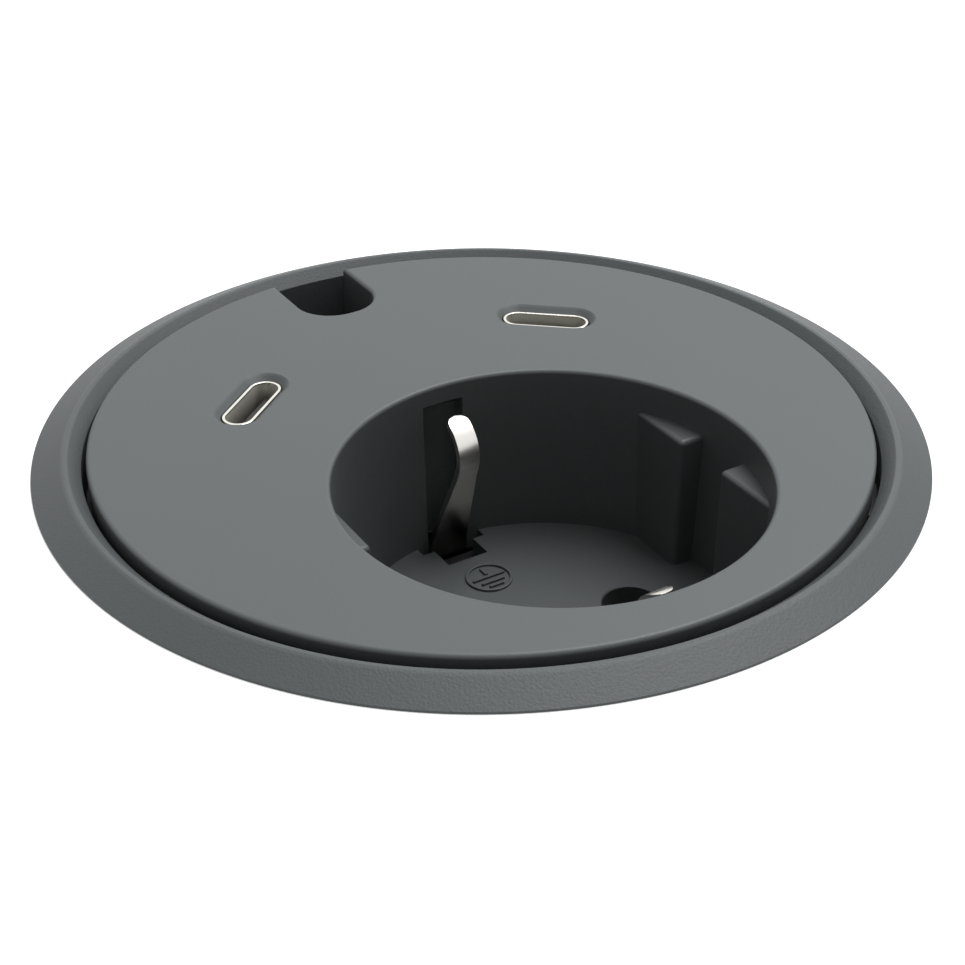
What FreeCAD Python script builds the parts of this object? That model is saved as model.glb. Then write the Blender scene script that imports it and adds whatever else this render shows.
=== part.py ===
import FreeCAD, Part
import math
import os

os.makedirs("parts", exist_ok=True)

# In-desk power socket. Millimetres, +Z up.
# The origin is on the barrel's axis in the plane of the desk top, on which the flange rests.
# +Y points from the outlet well to the cable slot, and X is the line through the two pin holes.

# Outlet well
well_rim_radius = 19.6
well_draft = 0.5             # the floor is this much smaller in radius than the rim
well_depth = 17.6
well_rim_edge = 0.4
well_wall = 1.4
well_floor = 2.0
well_offset = 12.15          # from the barrel's axis towards -Y
pin_spacing = 19.0
pin_hole_radius = 2.7
pin_hole_edge = 0.3
guide_depth = 2.4            # from the floor's edge in to the flat faces of the guide blocks
guide_groove = 5.8           # between the two blocks of a side
guide_drop = 3.35            # from the disc's top to the blocks' tops
guide_edge = 0.3

# Earth clips and the openings that they stand in
clip_thickness = 0.7
clip_half_width = 1.12
clip_foot_half_width = 2.1
clip_curl_radius = 3.7       # of the face that a plug touches
clip_knee_inset = 4.85       # from the floor's edge in to that face
clip_knee_drop = 5.9         # from the disc's top to the knee
clip_curl_end = 103.0        # degrees, where the curled end stops
clip_end_round = 1.0
clip_flare_drop = 2.2        # from the knee to where the clip starts to widen
clip_foot_inset = 0.5        # from the floor's edge in to the strap's leg
clip_swing = 1.0             # room before the leg at the floor's openings
strap_half_width = 3.2
strap_bend = 1.5
earth_tab_length = 7.3
clip_slot_width = 4.4
clip_slot_drop = 1.95
clip_slot_depth = 1.5
clip_slot_backing = 0.9
pocket_wide = 7.1
pocket_narrow = 4.5
pocket_narrow_length = 2.85

# Face disc, bezel ring and barrel
disc_land = 4.65             # from the well's rim to the disc's edge
disc_gap = 0.5
disc_thickness = 3.0
disc_edge = 0.4
disc_below_crest = 0.05
crest_height = 1.55
crest_width = 0.5
bevel_width = 1.05
bevel_drop = 1.13
slope_width = 2.95
flange_lip = 0.2
spigot_step = 0.4
spigot_length = 8.0
barrel_wall = 1.9
barrel_overrun = 2.0         # of the barrel below the rear housing
barrel_end_edge = 0.5
keyway_width = 6.0
keyway_depth = 0.9
keyway_start = 1.0           # below the spigot

# Cable slot
slot_width = 8.3
slot_depth = 10.1            # from the disc's edge to the slot's inner end
slot_corner = 3.85
slot_collar_wall = 1.2
slot_collar_depth = 8.0

# Charging ports
port_inset = 14.13           # from the disc's edge to a port's centre
port_angle = 48.96           # degrees from +Y
port_turn = 40.0             # degrees, of a port's long side against X
window_length = 10.5
window_width = 4.85
window_depth = 0.55
shell_length = 8.94
shell_width = 3.2
shell_wall = 0.3
shell_height = 7.3
shell_drop = 0.46            # from the disc's top to the shell's rim
shell_gap = 0.15
port_collar_wall = 1.2
port_collar_depth = 2.5
tongue_length = 6.7
tongue_thickness = 0.7
tongue_drop = 1.4
tongue_base = 2.4

# Charging board and what is soldered below it
board_thickness = 1.2
board_end = 7.0              # the board stops this far to the -Y side of the barrel's axis
transformer_size = (12.0, 12.0, 10.0)
transformer_angle = 139.5    # degrees from X about the well's axis
core_thickness = 3.4
capacitor_radius = 4.0
capacitor_height = 10.5
can_edge = 0.5
capacitor_angle = 43.2       # degrees from X about the well's axis, of the first can
capacitor_row_angle = 20.5   # degrees from X, from the first can to the second
component_gap = 1.0          # from the well's cup to what stands beside it
can_gap = 0.5
chip_size = 5.0
chip_height = 1.0
chip_reach = 8.5

# Contacts, their block and the shutter
shutter_room = 6.2
shutter_travel = 6.0
shutter_cover = 3.4          # half of what a pad covers along Y
shutter_pad_half_width = 3.9
shutter_bridge = 2.4
shutter_low_edge = 0.6
spring_radius = 1.8
spring_wire = 0.25
spring_turns = 5
spring_sides = 6             # of the wire's section
spring_length = 10.0
partition = 1.5
pin_passage_radius = 2.9
chamber_radius = 4.0
contact_room = 11.8
contact_length = 10.4
contact_grip_radius = 2.35
contact_mouth_radius = 2.75
contact_wall = 0.6
contact_leaf_half_width = 2.0
tail_height = 4.4
tail_thickness = 0.8
terminal_length = 7.4
terminal_width = 7.0
block_corner = 3.0
block_side_wall = 1.9
screw_radius = 1.45
screw_head_radius = 2.8
screw_head_height = 1.8
screw_reach = 6.0

# Rear housing
wiring_room = 6.4
housing_gap = 0.9            # to the barrel's bore
housing_wall = 1.6
housing_floor = 2.0
rib_length = 12.0
pillar_radius = 3.0
pillar_shoulder_radius = 4.0
pillar_pilot_radius = 1.6
pillar_pilot_depth = 12.0
pillar_inset = 9.1
side_pillar_angle = 8.4      # degrees towards -Y from X
snap_angles = (45.0, 135.0, 225.0, 315.0)
ledge_width = 8.0
ledge_depth = 1.7
ledge_height = 2.5
hook_width = 5.0
hook_height = 4.5
hook_lip = 0.7
tongue_slit = 0.8
tongue_slit_depth = 14.5
gland_inset = 15.2           # from the housing's inner wall to the gland's axis
gland_angle = 38.7           # degrees from X
gland_bore_radius = 3.9
gland_neck_radius = 5.5
gland_flange_radius = 7.0
gland_flange_height = 2.5
gland_edge = 0.8
gland_snap = 0.7
gland_snap_height = 2.0

# Clamping ring and nut
desk_thickness = 25.0
thread_clearance = 0.3
key_clearance = 0.2
washer_reach = 7.3           # beyond the barrel's thread
washer_thickness = 2.0
washer_edge = 0.5
nut_reach = 6.2
nut_height = 9.0
nut_edge = 1.0
grip_count = 12
grip_radius = 4.5
grip_depth = 1.6

# Fits between pieces of the body
fit = 0.3
close_fit = 0.1
near = 1e-4                  # lengths that differ by less count as equal

# Heights that follow
top_z = crest_height - disc_below_crest
disc_bottom = top_z - disc_thickness
floor_z = top_z - well_depth
block_top = floor_z - well_floor
pocket_bottom = block_top - shutter_room
chamber_top = pocket_bottom - partition
block_bottom = chamber_top - contact_room
housing_inside = block_bottom - wiring_room
housing_bottom = housing_inside - housing_floor
barrel_bottom = housing_bottom - barrel_overrun
shell_top = top_z - shell_drop
board_top = shell_top - shell_height
board_bottom = board_top - board_thickness

# Radii and places that follow
well_floor_radius = well_rim_radius - well_draft
guide_reach = well_floor_radius - guide_depth
clip_knee_reach = well_floor_radius - clip_knee_inset
leg_reach = well_floor_radius - clip_foot_inset
pocket_outer_reach = leg_reach + clip_thickness + fit
pocket_step_reach = leg_reach - clip_swing
pocket_inner_reach = pocket_step_reach - pocket_narrow_length
disc_radius = well_offset + well_rim_radius + disc_land
bore_radius = disc_radius + disc_gap
crest_outer_radius = bore_radius + bevel_width + crest_width
flange_radius = crest_outer_radius + slope_width
barrel_radius = bore_radius + barrel_wall
spigot_radius = barrel_radius + spigot_step
housing_radius = bore_radius - housing_gap
housing_inner_radius = housing_radius - housing_wall
ledge_radius = bore_radius - ledge_depth
groove_radius = ledge_radius - fit
well_outer_radius = well_rim_radius + well_wall
slot_inner_y = disc_radius - slot_depth
port_radius = disc_radius - port_inset
pin_reach = pin_spacing / 2
block_half_width = pin_reach + chamber_radius + block_side_wall
block_half_length = leg_reach - fit
terminal_y = block_half_length + terminal_length / 2 + fit
pillar_ring = disc_radius - pillar_inset
side_pillar_x = pillar_ring * math.cos(math.radians(side_pillar_angle))
side_pillar_y = -pillar_ring * math.sin(math.radians(side_pillar_angle))
pillar_places = (
    (side_pillar_x, side_pillar_y),
    (-side_pillar_x, side_pillar_y),
    (0.0, slot_inner_y - pillar_inset),
)
transformer_half = math.hypot(transformer_size[0], transformer_size[1]) / 2
transformer_reach = well_outer_radius + component_gap + transformer_half
transformer_place = (
    transformer_reach * math.cos(math.radians(transformer_angle)),
    transformer_reach * math.sin(math.radians(transformer_angle)) - well_offset,
)
capacitor_reach = well_outer_radius + component_gap + capacitor_radius
capacitor_x = capacitor_reach * math.cos(math.radians(capacitor_angle))
capacitor_y = capacitor_reach * math.sin(math.radians(capacitor_angle)) - well_offset
capacitor_pitch = 2 * capacitor_radius + can_gap
capacitor_places = (
    (capacitor_x, capacitor_y),
    (capacitor_x + capacitor_pitch * math.cos(math.radians(capacitor_row_angle)),
     capacitor_y + capacitor_pitch * math.sin(math.radians(capacitor_row_angle))),
)
gland_reach = housing_inner_radius - gland_inset
gland_place = (
    gland_reach * math.cos(math.radians(gland_angle)),
    gland_reach * math.sin(math.radians(gland_angle)),
)
contact_sides = {"live_contact": -1, "neutral_contact": 1}
port_sides = {"left": -1, "right": 1}
over = 1.0                   # how far a cutting solid runs past the face that it opens

up = FreeCAD.Vector(0, 0, 1)


def flat(height):
    return lambda a, b: FreeCAD.Vector(a, b, height)


def upright(a, b):
    return FreeCAD.Vector(a, 0, b)


def sideways(a, b):
    return FreeCAD.Vector(0, a, b)


# Edges through the corners (a, b) or (a, b, radius), each corner rounded by its own radius.
def outline(corners, place, closed=True):
    points = [FreeCAD.Vector(corner[0], corner[1], 0) for corner in corners]
    radii = [corner[2] if len(corner) > 2 else 0 for corner in corners]
    arrive, leave, bend = [], [], []
    for index, point in enumerate(points):
        if not radii[index]:
            arrive.append(point)
            leave.append(point)
            bend.append(None)
            continue
        back = (points[index - 1] - point).normalize()
        ahead = (points[(index + 1) % len(points)] - point).normalize()
        half = back.getAngle(ahead) / 2
        run = radii[index] / math.tan(half)
        middle = (back + ahead).normalize() * (radii[index] / math.sin(half) - radii[index])
        arrive.append(point + back * run)
        leave.append(point + ahead * run)
        bend.append(point + middle)
    edges = []
    for index in range(len(points)):
        if bend[index]:
            on_arc = [place(spot.x, spot.y) for spot in (arrive[index], bend[index], leave[index])]
            edges.append(Part.Arc(*on_arc).toShape())
        if index + 1 == len(points) and not closed:
            break
        start, end = leave[index], arrive[(index + 1) % len(points)]
        if start.distanceToPoint(end) > near:
            edges.append(Part.LineSegment(place(start.x, start.y), place(end.x, end.y)).toShape())
    return edges


def prism(corners, low, high):
    face = Part.Face(Part.Wire(outline(corners, flat(low))))
    return face.extrude(up * (high - low))


def turned(corners, x=0.0, y=0.0):
    face = Part.Face(Part.Wire(outline(corners, upright)))
    return face.revolve(FreeCAD.Vector(0, 0, 0), up, 360).translate(FreeCAD.Vector(x, y, 0))


def block(x0, x1, y0, y1, z0, z1):
    return Part.makeBox(x1 - x0, y1 - y0, z1 - z0, FreeCAD.Vector(x0, y0, z0))


def rod(radius, low, high, x=0.0, y=0.0):
    return Part.makeCylinder(radius, high - low, FreeCAD.Vector(x, y, low), up)


def oval(length, width):
    a, b, r = length / 2, width / 2, width / 2
    return [(-a, -b, r), (a, -b, r), (a, b, r), (-a, b, r)]


def slot_corners(grow, far):
    a, b, r = slot_width / 2 + grow, slot_inner_y - grow, slot_corner + grow
    return [(-a, far), (-a, b, r), (a, b, r), (a, far)]


def rotated(shape, degrees):
    copy = shape.copy()
    copy.rotate(FreeCAD.Vector(0, 0, 0), up, degrees)
    return copy


def at_port(shape, side):
    angle = math.radians(90 - side * port_angle)
    copy = rotated(shape, -side * port_turn)
    copy.translate(FreeCAD.Vector(port_radius * math.cos(angle), port_radius * math.sin(angle), 0))
    return copy


def at_well(shape):
    copy = shape.copy()
    copy.translate(FreeCAD.Vector(0, -well_offset, 0))
    return copy


def both_ends(shape):
    return [shape, rotated(shape, 180)]


def save(name, shape):
    shape = shape.removeSplitter()
    if not shape.isValid():
        raise ValueError(name + " is not a valid solid")
    box = shape.BoundBox
    print(f"{name}: {len(shape.Solids)} solid, {shape.Volume:.1f} mm3, z {box.ZMin:.2f} to {box.ZMax:.2f}")
    shape.exportStep(os.path.join("parts", name + ".step"))


# The bezel and the barrel are one moulding: a steep outer slope, a narrow crest and an inner bevel
# over a tube with a centring spigot, four support ledges inside and two keyways outside.
def bezel_sleeve():
    body = turned([
        (bore_radius, barrel_bottom),
        (barrel_radius - barrel_end_edge, barrel_bottom),
        (barrel_radius, barrel_bottom + barrel_end_edge),
        (barrel_radius, -spigot_length - spigot_step),
        (spigot_radius, -spigot_length),
        (spigot_radius, 0),
        (flange_radius, 0),
        (flange_radius, flange_lip),
        (crest_outer_radius, crest_height),
        (crest_outer_radius - crest_width, crest_height),
        (bore_radius, crest_height - bevel_drop),
    ])
    ledge = block(ledge_radius, bore_radius + barrel_wall / 2, -ledge_width / 2, ledge_width / 2,
                  disc_bottom - ledge_height, disc_bottom)
    body = body.fuse([rotated(ledge, angle) for angle in snap_angles])
    keyway = block(barrel_radius - keyway_depth, spigot_radius + over, -keyway_width / 2, keyway_width / 2,
                   barrel_bottom - over, -spigot_length - spigot_step - keyway_start)
    return body.cut(both_ends(keyway))


# The keyed ring presses on the desk's underside and cannot turn with the nut.
def clamp_washer():
    inner = barrel_radius + thread_clearance
    high, low = -desk_thickness, -desk_thickness - washer_thickness
    outer = inner + washer_reach
    ring = turned([
        (inner, low),
        (outer, low),
        (outer, high - washer_edge),
        (outer - washer_edge, high),
        (inner, high),
    ])
    half = keyway_width / 2 - key_clearance
    key = block(barrel_radius - keyway_depth + key_clearance, inner + over, -half, half, low, high)
    return ring.fuse(both_ends(key))


def ring_nut():
    inner, outer = barrel_radius + thread_clearance, barrel_radius + thread_clearance + nut_reach
    high = -desk_thickness - washer_thickness
    low = high - nut_height
    ring = turned([
        (inner, low),
        (outer - nut_edge, low),
        (outer, low + nut_edge),
        (outer, high - nut_edge),
        (outer - nut_edge, high),
        (inner, high),
    ])
    grip = rod(grip_radius, low - over, high + over, outer + grip_radius - grip_depth, 0)
    return ring.cut([rotated(grip, index * 360 / grip_count) for index in range(grip_count)])


# The well is a drafted cup with a broken rim. The guide blocks are left standing in its hollow.
def well_hollow():
    hollow = turned([
        (0, floor_z),
        (well_floor_radius, floor_z),
        (well_rim_radius, top_z - well_rim_edge),
        (well_rim_radius + well_rim_edge, top_z),
        (well_rim_radius + well_rim_edge, top_z + over),
        (0, top_z + over),
    ])
    guide = block(guide_reach, well_outer_radius, guide_groove / 2, well_outer_radius,
                  floor_z - over, top_z - guide_drop)
    guide = guide.makeChamfer(guide_edge, [edge for edge in guide.Edges if guide_corner(edge)])
    mirrored = guide.mirror(FreeCAD.Vector(0, 0, 0), FreeCAD.Vector(0, 1, 0))
    return hollow.cut(both_ends(guide) + both_ends(mirrored))


# The three edges of a guide block that meet at its corner towards the well's axis and the groove.
def guide_corner(edge):
    middle = edge.CenterOfMass
    on_face = abs(middle.x - guide_reach) < near
    in_groove = abs(middle.y - guide_groove / 2) < near
    on_top = abs(middle.z - (top_z - guide_drop)) < near
    return (on_face and in_groove) or (on_face and on_top) or (in_groove and on_top)


# What the clips need in the wall and the floor of the well, on its +Y side.
def clip_openings():
    slot = block(-clip_slot_width / 2, clip_slot_width / 2, pocket_outer_reach - over,
                 well_rim_radius + clip_slot_depth, floor_z, top_z - clip_slot_drop)
    low, high = block_top - over, floor_z + over
    wide = block(-pocket_wide / 2, pocket_wide / 2, pocket_step_reach, pocket_outer_reach, low, high)
    narrow = block(-pocket_narrow / 2, pocket_narrow / 2, pocket_inner_reach, pocket_step_reach, low, high)
    return [slot, wide, narrow]


def clip_slot_back():
    half = clip_slot_width / 2 + clip_slot_backing
    return block(-half, half, well_floor_radius, well_rim_radius + clip_slot_depth + clip_slot_backing,
                 block_top, top_z - clip_slot_drop + clip_slot_backing)


def pin_hole():
    return turned([
        (0, block_top - over),
        (pin_hole_radius, block_top - over),
        (pin_hole_radius, floor_z - pin_hole_edge),
        (pin_hole_radius + pin_hole_edge, floor_z),
        (pin_hole_radius + pin_hole_edge, floor_z + over),
        (0, floor_z + over),
    ], pin_reach)


# A port's window is a shallow dish that narrows to the shell's own outline.
def port_window():
    foot = oval(shell_length + 2 * shell_gap, shell_width + 2 * shell_gap)
    foot_z = top_z - window_depth
    rim_wire = Part.Wire(outline(oval(window_length, window_width), flat(top_z)))
    dish = Part.makeLoft([rim_wire, Part.Wire(outline(foot, flat(foot_z)))], True, True)
    return [dish, prism(foot, disc_bottom - port_collar_depth - over, foot_z)]


def face_insert():
    far = bore_radius + over
    plate = rod(disc_radius, disc_bottom, top_z)
    plate = plate.cut(prism(slot_corners(0, far), disc_bottom - over, top_z + over))
    rim = [edge for edge in plate.Edges if abs(edge.BoundBox.ZMin - top_z) < near]
    plate = plate.makeChamfer(disc_edge, rim)
    collar = prism(slot_corners(slot_collar_wall, far), disc_bottom - slot_collar_depth, disc_bottom)
    collar = collar.common(rod(disc_radius, disc_bottom - slot_collar_depth, disc_bottom))
    collar = collar.cut(prism(slot_corners(0, far), disc_bottom - slot_collar_depth - over, top_z))
    cup = at_well(rod(well_outer_radius, block_top, disc_bottom))
    backs = [at_well(back) for back in both_ends(clip_slot_back())]
    grow = 2 * (shell_gap + port_collar_wall)
    port_collar = prism(oval(shell_length + grow, shell_width + grow),
                        disc_bottom - port_collar_depth, disc_bottom)
    port_collars = [at_port(port_collar, side) for side in port_sides.values()]
    pillars = []
    for x, y in pillar_places:
        pillars.append(rod(pillar_shoulder_radius, board_top, disc_bottom, x, y))
        pillars.append(rod(pillar_radius, housing_inside, board_top, x, y))
    body = plate.fuse([collar, cup] + backs + port_collars + pillars)
    cuts = [at_well(well_hollow())]
    for shape in clip_openings():
        cuts += [at_well(end) for end in both_ends(shape)]
    cuts += [at_well(end) for end in both_ends(pin_hole())]
    for shape in port_window():
        cuts += [at_port(shape, side) for side in port_sides.values()]
    cuts += [rod(pillar_pilot_radius, housing_inside - over, housing_inside + pillar_pilot_depth, x, y)
             for x, y in pillar_places]
    return body.cut(cuts)


# One stamped strap: up through the floor pockets at both ends of the block, then bent in to a knee
# and curled back, so that each end is an earth clip.
def earth_bow():
    curl_y, curl_z = clip_knee_reach + clip_curl_radius, top_z - clip_knee_drop
    drop, run = curl_z - floor_z, leg_reach - curl_y
    touch = math.atan2(-drop, run) - math.acos(clip_curl_radius / math.hypot(drop, run))
    end = math.radians(clip_curl_end - 360)
    curl = [(curl_y + clip_curl_radius * math.cos(angle), curl_z + clip_curl_radius * math.sin(angle))
            for angle in (end, (touch + end) / 2, touch)]
    legs = [
        (*curl[2], 0),
        (leg_reach, floor_z),
        (leg_reach, block_bottom, strap_bend),
        (-leg_reach, block_bottom, strap_bend),
        (-leg_reach, floor_z),
        (-curl[2][0], curl[2][1]),
    ]
    near = Part.Arc(*[sideways(a, b) for a, b in curl]).toShape()
    far = Part.Arc(*[sideways(-a, b) for a, b in curl[::-1]]).toShape()
    touched_side = Part.Wire([near] + outline(legs, sideways, False) + [far])
    strip = touched_side.makeOffset2D(-clip_thickness, 0, True, True)
    width = 2 * (strap_half_width + over)
    strip = strip.extrude(FreeCAD.Vector(width, 0, 0)).translate(FreeCAD.Vector(-width / 2, 0, 0))
    shoulder_z = block_top - clip_foot_half_width
    half = [
        (clip_half_width, top_z),
        (clip_half_width, curl_z - clip_flare_drop),
        (clip_foot_half_width, floor_z),
        (clip_foot_half_width, shoulder_z),
        (strap_half_width, shoulder_z - (strap_half_width - clip_foot_half_width)),
        (strap_half_width, block_bottom - over),
    ]
    pattern = half + [(-a, b) for a, b in half[::-1]]
    sheet = Part.Face(Part.Wire(outline(pattern, upright))).extrude(FreeCAD.Vector(0, 4 * leg_reach, 0))
    bow = strip.common(sheet.translate(FreeCAD.Vector(0, -2 * leg_reach, 0)))
    low = block_bottom - clip_thickness
    tab = block(-strap_half_width, strap_half_width, leg_reach - strap_bend, leg_reach + earth_tab_length,
                low, block_bottom)
    screw_y = leg_reach + earth_tab_length / 2
    hole = rod(screw_radius + close_fit, low - over, block_bottom + over, 0, screw_y)
    bow = bow.fuse(tab).cut(hole)
    return at_well(bow.makeFillet(clip_end_round, [edge for edge in bow.Edges if clip_end_edge(edge)]))


# The edges across the strip's thickness at the two sides of a curled end.
def clip_end_edge(edge):
    middle = edge.CenterOfMass
    across = abs(edge.Length - clip_thickness) < near
    return across and abs(abs(middle.x) - clip_half_width) < near and middle.z > top_z - clip_knee_drop


def port_shell(side):
    outer = prism(oval(shell_length, shell_width), board_top, shell_top)
    inner = prism(oval(shell_length - 2 * shell_wall, shell_width - 2 * shell_wall),
                  board_top - over, shell_top + over)
    return at_port(outer.cut(inner), side)


def port_tongue(side):
    shrink = 2 * (shell_wall + close_fit / 2)
    base = prism(oval(shell_length - shrink, shell_width - shrink), board_top, board_top + tongue_base)
    half, thick = tongue_length / 2, tongue_thickness / 2
    corner = tongue_thickness * 0.4
    corners = [(a, b, corner) for a, b in ((-half, -thick), (half, -thick), (half, thick), (-half, thick))]
    tongue = prism(corners, board_top + tongue_base / 2, shell_top - tongue_drop)
    return at_port(base.fuse(tongue), side)


def charger_board():
    board = rod(housing_inner_radius - ledge_depth - fit, board_bottom, board_top)
    low, high = board_bottom - over, board_top + over
    around_well = rod(well_outer_radius + clip_slot_depth + fit, low, high, 0, -well_offset)
    around_slot = prism(slot_corners(slot_collar_wall + housing_wall + 2 * fit, bore_radius), low, high)
    behind = block(-bore_radius, bore_radius, -bore_radius, -board_end, low, high)
    holes = [rod(pillar_radius + close_fit, low, high, x, y) for x, y in pillar_places]
    board = board.cut([around_well, around_slot, behind] + holes)
    return board


# A wound bobbin between the two halves of its core.
def charger_transformer():
    length, width, height = transformer_size
    x, y = transformer_place
    low = board_bottom - height
    x0, x1, y0, y1 = x - length / 2, x + length / 2, y - width / 2, y + width / 2
    core_low, core_high = low + height / 8, board_bottom - height / 8
    bobbin = block(x0 + core_thickness, x1 - core_thickness, y0, y1, low, board_bottom)
    core = block(x0, x1, y - width / 4, y + width / 4, core_low, core_high)
    cheeks = [block(a, a + core_thickness, y0, y1, core_low, core_high) for a in (x0, x1 - core_thickness)]
    return bobbin.fuse([core] + cheeks)


def charger_capacitors():
    cans = []
    low = board_bottom - capacitor_height
    for x, y in capacitor_places:
        cans.append(turned([
            (0, low),
            (capacitor_radius - can_edge, low),
            (capacitor_radius, low + can_edge),
            (capacitor_radius, board_bottom),
            (0, board_bottom),
        ], x, y))
    return Part.Compound(cans)


def charger_chips():
    y = slot_inner_y - pillar_inset
    half = chip_size / 2
    low = board_bottom - chip_height
    return Part.Compound([block(x - half, x + half, y - half, y + half, low, board_bottom)
                          for x in (-chip_reach, chip_reach)])


# A sloped pad behind each pin hole, joined by a bridge: pins that press both slopes push it to +Y.
def safety_shutter():
    low, high = pocket_bottom + close_fit, block_top - close_fit
    profile = [
        (-shutter_cover, low),
        (shutter_cover, low),
        (shutter_cover, high),
        (shutter_cover - shutter_bridge / 2, high),
        (-shutter_cover, low + shutter_low_edge),
    ]
    face = Part.Face(Part.Wire(outline(profile, sideways)))
    pads = []
    for side in (-1, 1):
        pad = face.extrude(FreeCAD.Vector(2 * shutter_pad_half_width, 0, 0))
        pad.translate(FreeCAD.Vector(side * pin_reach - shutter_pad_half_width, 0, 0))
        pads.append(pad)
    bridge = block(-pin_reach, pin_reach, shutter_cover - shutter_bridge, shutter_cover, low, high)
    return at_well(bridge.fuse(pads))


def shutter_spring():
    rise = spring_length - 2 * spring_wire
    helix = Part.makeHelix(rise / spring_turns, rise, spring_radius)
    turns = [2 * math.pi * index / spring_sides for index in range(spring_sides + 1)]
    wire = [(spring_wire * math.cos(turn), spring_wire * math.sin(turn)) for turn in turns]
    section = Part.makePolygon([upright(spring_radius + a, b) for a, b in wire])
    coil = Part.Wire(helix.Edges).makePipeShell([section], True, True)
    coil.rotate(FreeCAD.Vector(0, 0, 0), FreeCAD.Vector(1, 0, 0), -90)
    start = shutter_cover + spring_wire + close_fit
    coil.translate(FreeCAD.Vector(0, start, (pocket_bottom + block_top) / 2))
    return at_well(coil)


def spring_end():
    return shutter_cover + spring_length + 2 * close_fit + spring_wire / 2


# The block stands under the well's floor. The shutter runs in a pocket at its top, and the contacts
# sit in chambers that open downwards, with a channel for each contact's tail.
def contact_block():
    a, b, r = block_half_width, block_half_length, block_corner
    body = prism([(-a, -b, r), (a, -b, r), (a, b, r), (-a, b, r)], block_bottom, block_top)
    body = body.makeChamfer(strap_bend, [edge for edge in body.Edges if strap_corner(edge)])
    side = pin_reach + shutter_pad_half_width + close_fit
    run = block(-side, side, -shutter_cover - close_fit, shutter_cover + shutter_travel + fit,
                pocket_bottom, block_top + over)
    half = spring_radius + spring_wire + fit
    seat = block(-half, half, shutter_cover, spring_end(), pocket_bottom, block_top + over)
    cuts = [run, seat]
    for sign in (-1, 1):
        x = sign * pin_reach
        cuts.append(rod(pin_passage_radius, chamber_top - over, pocket_bottom + over, x, 0))
        cuts.append(rod(chamber_radius, block_bottom - over, chamber_top, x, 0))
        cuts.append(block(x - tail_thickness, x + tail_thickness, 0, b + over, block_bottom - over,
                          block_bottom + tail_height + 2 * fit))
    return at_well(body.cut(cuts))


# The block's two bottom edges that the strap bends round.
def strap_corner(edge):
    middle = edge.CenterOfMass
    return abs(middle.z - block_bottom) < near and abs(abs(middle.y) - block_half_length) < near


# Two sprung leaves that pinch the pin at their waist, on a foot with a tail out to its terminal.
def line_contact(side):
    low = block_bottom + fit
    high = low + contact_length
    waist = high - contact_length / 4
    root = contact_grip_radius + contact_wall / 2
    leaf = Part.Face(Part.Wire(outline([
        (root, low),
        (root + contact_wall, low),
        (contact_grip_radius + contact_wall, waist),
        (contact_mouth_radius + contact_wall, high),
        (contact_mouth_radius, high),
        (contact_grip_radius, waist),
    ], upright)))
    leaf = leaf.extrude(FreeCAD.Vector(0, 2 * contact_leaf_half_width, 0))
    leaf.translate(FreeCAD.Vector(0, -contact_leaf_half_width, 0))
    foot = block(-root, root, -contact_leaf_half_width, contact_leaf_half_width, low, low + contact_wall)
    end = block_half_length + fit
    start = contact_grip_radius + contact_wall
    half = tail_thickness / 2
    neck = block(-half, half, 0, start + contact_wall, low, low + contact_wall)
    tail = block(-half, half, start, end + tail_thickness, low, low + tail_height)
    half = terminal_width / 2
    tab = block(-half, half, end, end + terminal_length,
                low + tail_height - tail_thickness, low + tail_height)
    hole = rod(screw_radius + close_fit, low, low + tail_height + over, 0, terminal_y)
    contact = foot.fuse(both_ends(leaf) + [neck, tail, tab]).cut(hole)
    contact.translate(FreeCAD.Vector(side * pin_reach, 0, 0))
    return at_well(contact)


# A screw with its head down: the thread is plain here.
def screw(x, y, seat, reach):
    return turned([
        (0, seat - screw_head_height),
        (screw_head_radius, seat - screw_head_height),
        (screw_head_radius, seat),
        (screw_radius, seat),
        (screw_radius, seat + reach),
        (0, seat + reach),
    ], x, y)


def terminal_screws():
    tab_bottom = block_bottom + fit + tail_height - tail_thickness
    y = terminal_y - well_offset
    screws = [screw(side * pin_reach, y, tab_bottom, screw_reach) for side in (-1, 1)]
    earth_y = leg_reach + earth_tab_length / 2 - well_offset
    screws.append(screw(0, earth_y, block_bottom - clip_thickness, screw_reach))
    return Part.Compound(screws)


def housing_screws():
    reach = housing_floor + pillar_pilot_depth - over
    return Part.Compound([screw(x, y, housing_bottom, reach) for x, y in pillar_places])


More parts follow.
